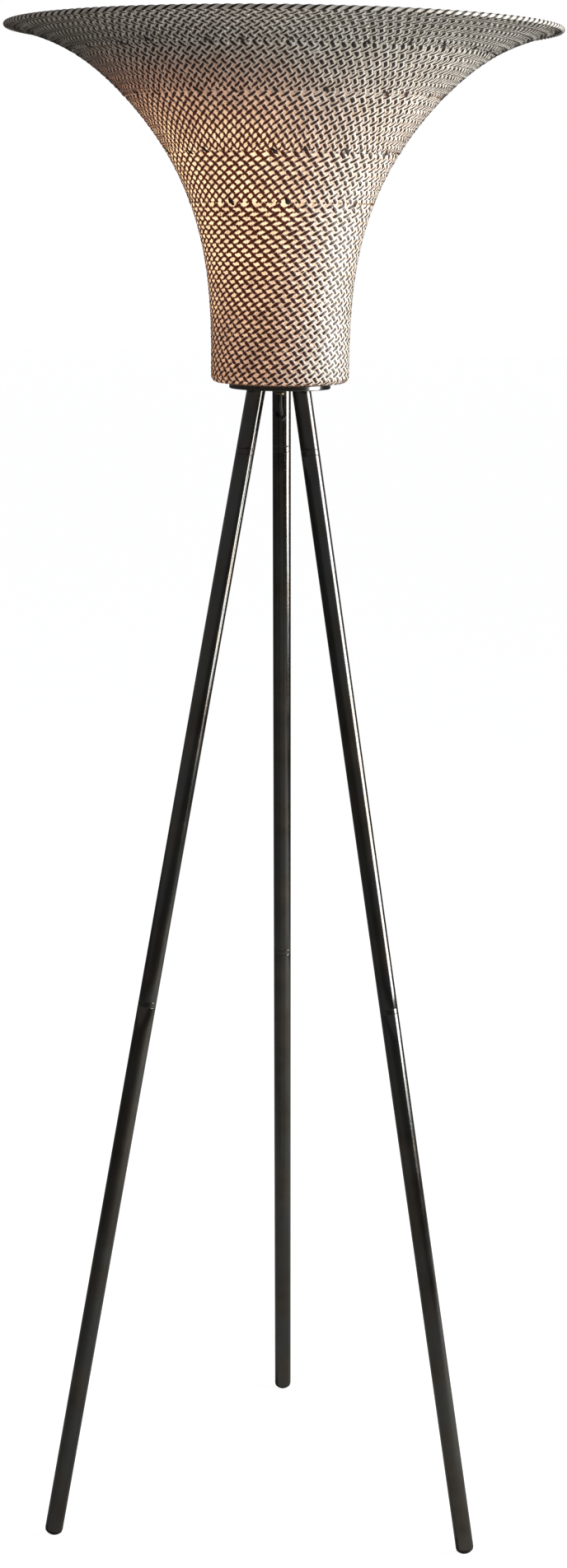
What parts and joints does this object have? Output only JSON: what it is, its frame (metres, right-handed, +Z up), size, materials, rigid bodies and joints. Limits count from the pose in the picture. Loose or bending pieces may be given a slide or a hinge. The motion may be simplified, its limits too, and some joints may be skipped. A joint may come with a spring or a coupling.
{
  "type": "tripod floor lamp",
  "caption": "Tall floor lamp with slim splayed tube legs, a small round mounting plate and a woven trumpet shade that glows around a screw-in bulb.",
  "frame": {"origin": "on the floor, on the lamp's vertical axis, midway between the three feet", "axes": "+Z up along the lamp's axis; +Y towards the rear leg, which carries the lead; the other two legs stand 120 degrees either side of it"},
  "size_m": [0.644, 0.644, 1.83],
  "materials": {
    "bronze_finish": "blackened bronze, glossy to satin",
    "zinc_plated": "zinc plated",
    "brass": "satin",
    "black_rubber": "matt",
    "brown_phenolic": "satin",
    "woven_strand": "translucent cream strands with a dark core line",
    "dark_binding": "satin wrapped strand",
    "black_wire": "satin black",
    "frosted_glass": "frosted, lit warm white",
    "clear_glass": "clear",
    "filament_wire": "glowing wire"
  },
  "bodies": {
    "stand": {"mounting_plate": "bronze_finish", "leg_stub_rear": "bronze_finish", "leg_middle_rear": "bronze_finish", "leg_lower_rear": "bronze_finish", "upper_coupling_rear": "bronze_finish", "lower_coupling_rear": "bronze_finish", "leg_stub_left": "bronze_finish", "leg_middle_left": "bronze_finish", "leg_lower_left": "bronze_finish", "upper_coupling_left": "bronze_finish", "lower_coupling_left": "bronze_finish", "leg_stub_right": "bronze_finish", "leg_middle_right": "bronze_finish", "leg_lower_right": "bronze_finish", "upper_coupling_right": "bronze_finish", "lower_coupling_right": "bronze_finish", "plate_washer": "zinc_plated", "plate_nut": "zinc_plated", "screw_shell": "zinc_plated", "upper_insert_rear": "zinc_plated", "lower_insert_rear": "zinc_plated", "upper_insert_left": "zinc_plated", "lower_insert_left": "zinc_plated", "upper_insert_right": "zinc_plated", "lower_insert_right": "zinc_plated", "centring_cup": "brass", "cup_nut": "brass", "riser_sleeve": "brass", "threaded_nipple": "brass", "socket_cap": "brass", "socket_shell": "brass", "centre_contact": "brass", "lead_grommet": "black_rubber", "foot_gland": "black_rubber", "internal_lead": "black_rubber", "foot_glide_rear": "black_rubber", "foot_glide_left": "black_rubber", "foot_glide_right": "black_rubber", "socket_core": "brown_phenolic", "socket_liner": "brown_phenolic"},
    "shade": {"woven_shade": "woven_strand", "rim_binding": "dark_binding", "frame_hoop_1": "black_wire", "frame_hoop_2": "black_wire", "frame_hoop_3": "black_wire", "frame_hoop_4": "black_wire", "base_disc": "black_wire", "base_wire": "black_wire"},
    "switch": {"switch_knob": "brown_phenolic", "switch_shaft": "zinc_plated"},
    "bulb_tip": {"bulb_contact": "zinc_plated"},
    "bulb": {"bulb_cap": "zinc_plated", "bulb_glass": "frosted_glass", "bulb_stem": "clear_glass", "bulb_filament": "filament_wire"}
  },
  "joints": [
    {"name": "shade_lift", "type": "slide", "parent": "stand", "child": "shade", "axis": [0, 0, 1], "range_m": [0, 0.25]},
    {"name": "switch_turn", "type": "hinge", "parent": "stand", "child": "switch", "pos_m": [0.0284, 0, 1.5182], "axis": [1, 0, 0], "continuous": true},
    {"name": "bulb_rise", "type": "slide", "parent": "stand", "child": "bulb_tip", "axis": [0, 0, 1], "range_m": [0, 0.02]},
    {"name": "bulb_turn", "type": "hinge", "parent": "bulb_tip", "child": "bulb", "pos_m": [0, 0, 1.5281], "axis": [0, 0, 1], "range_deg": [0, 1980]}
  ],
  "couplings": [
    {"joint": "bulb_rise", "follows": "bulb_turn", "m_per_rad": 0.00057757}
  ]
}
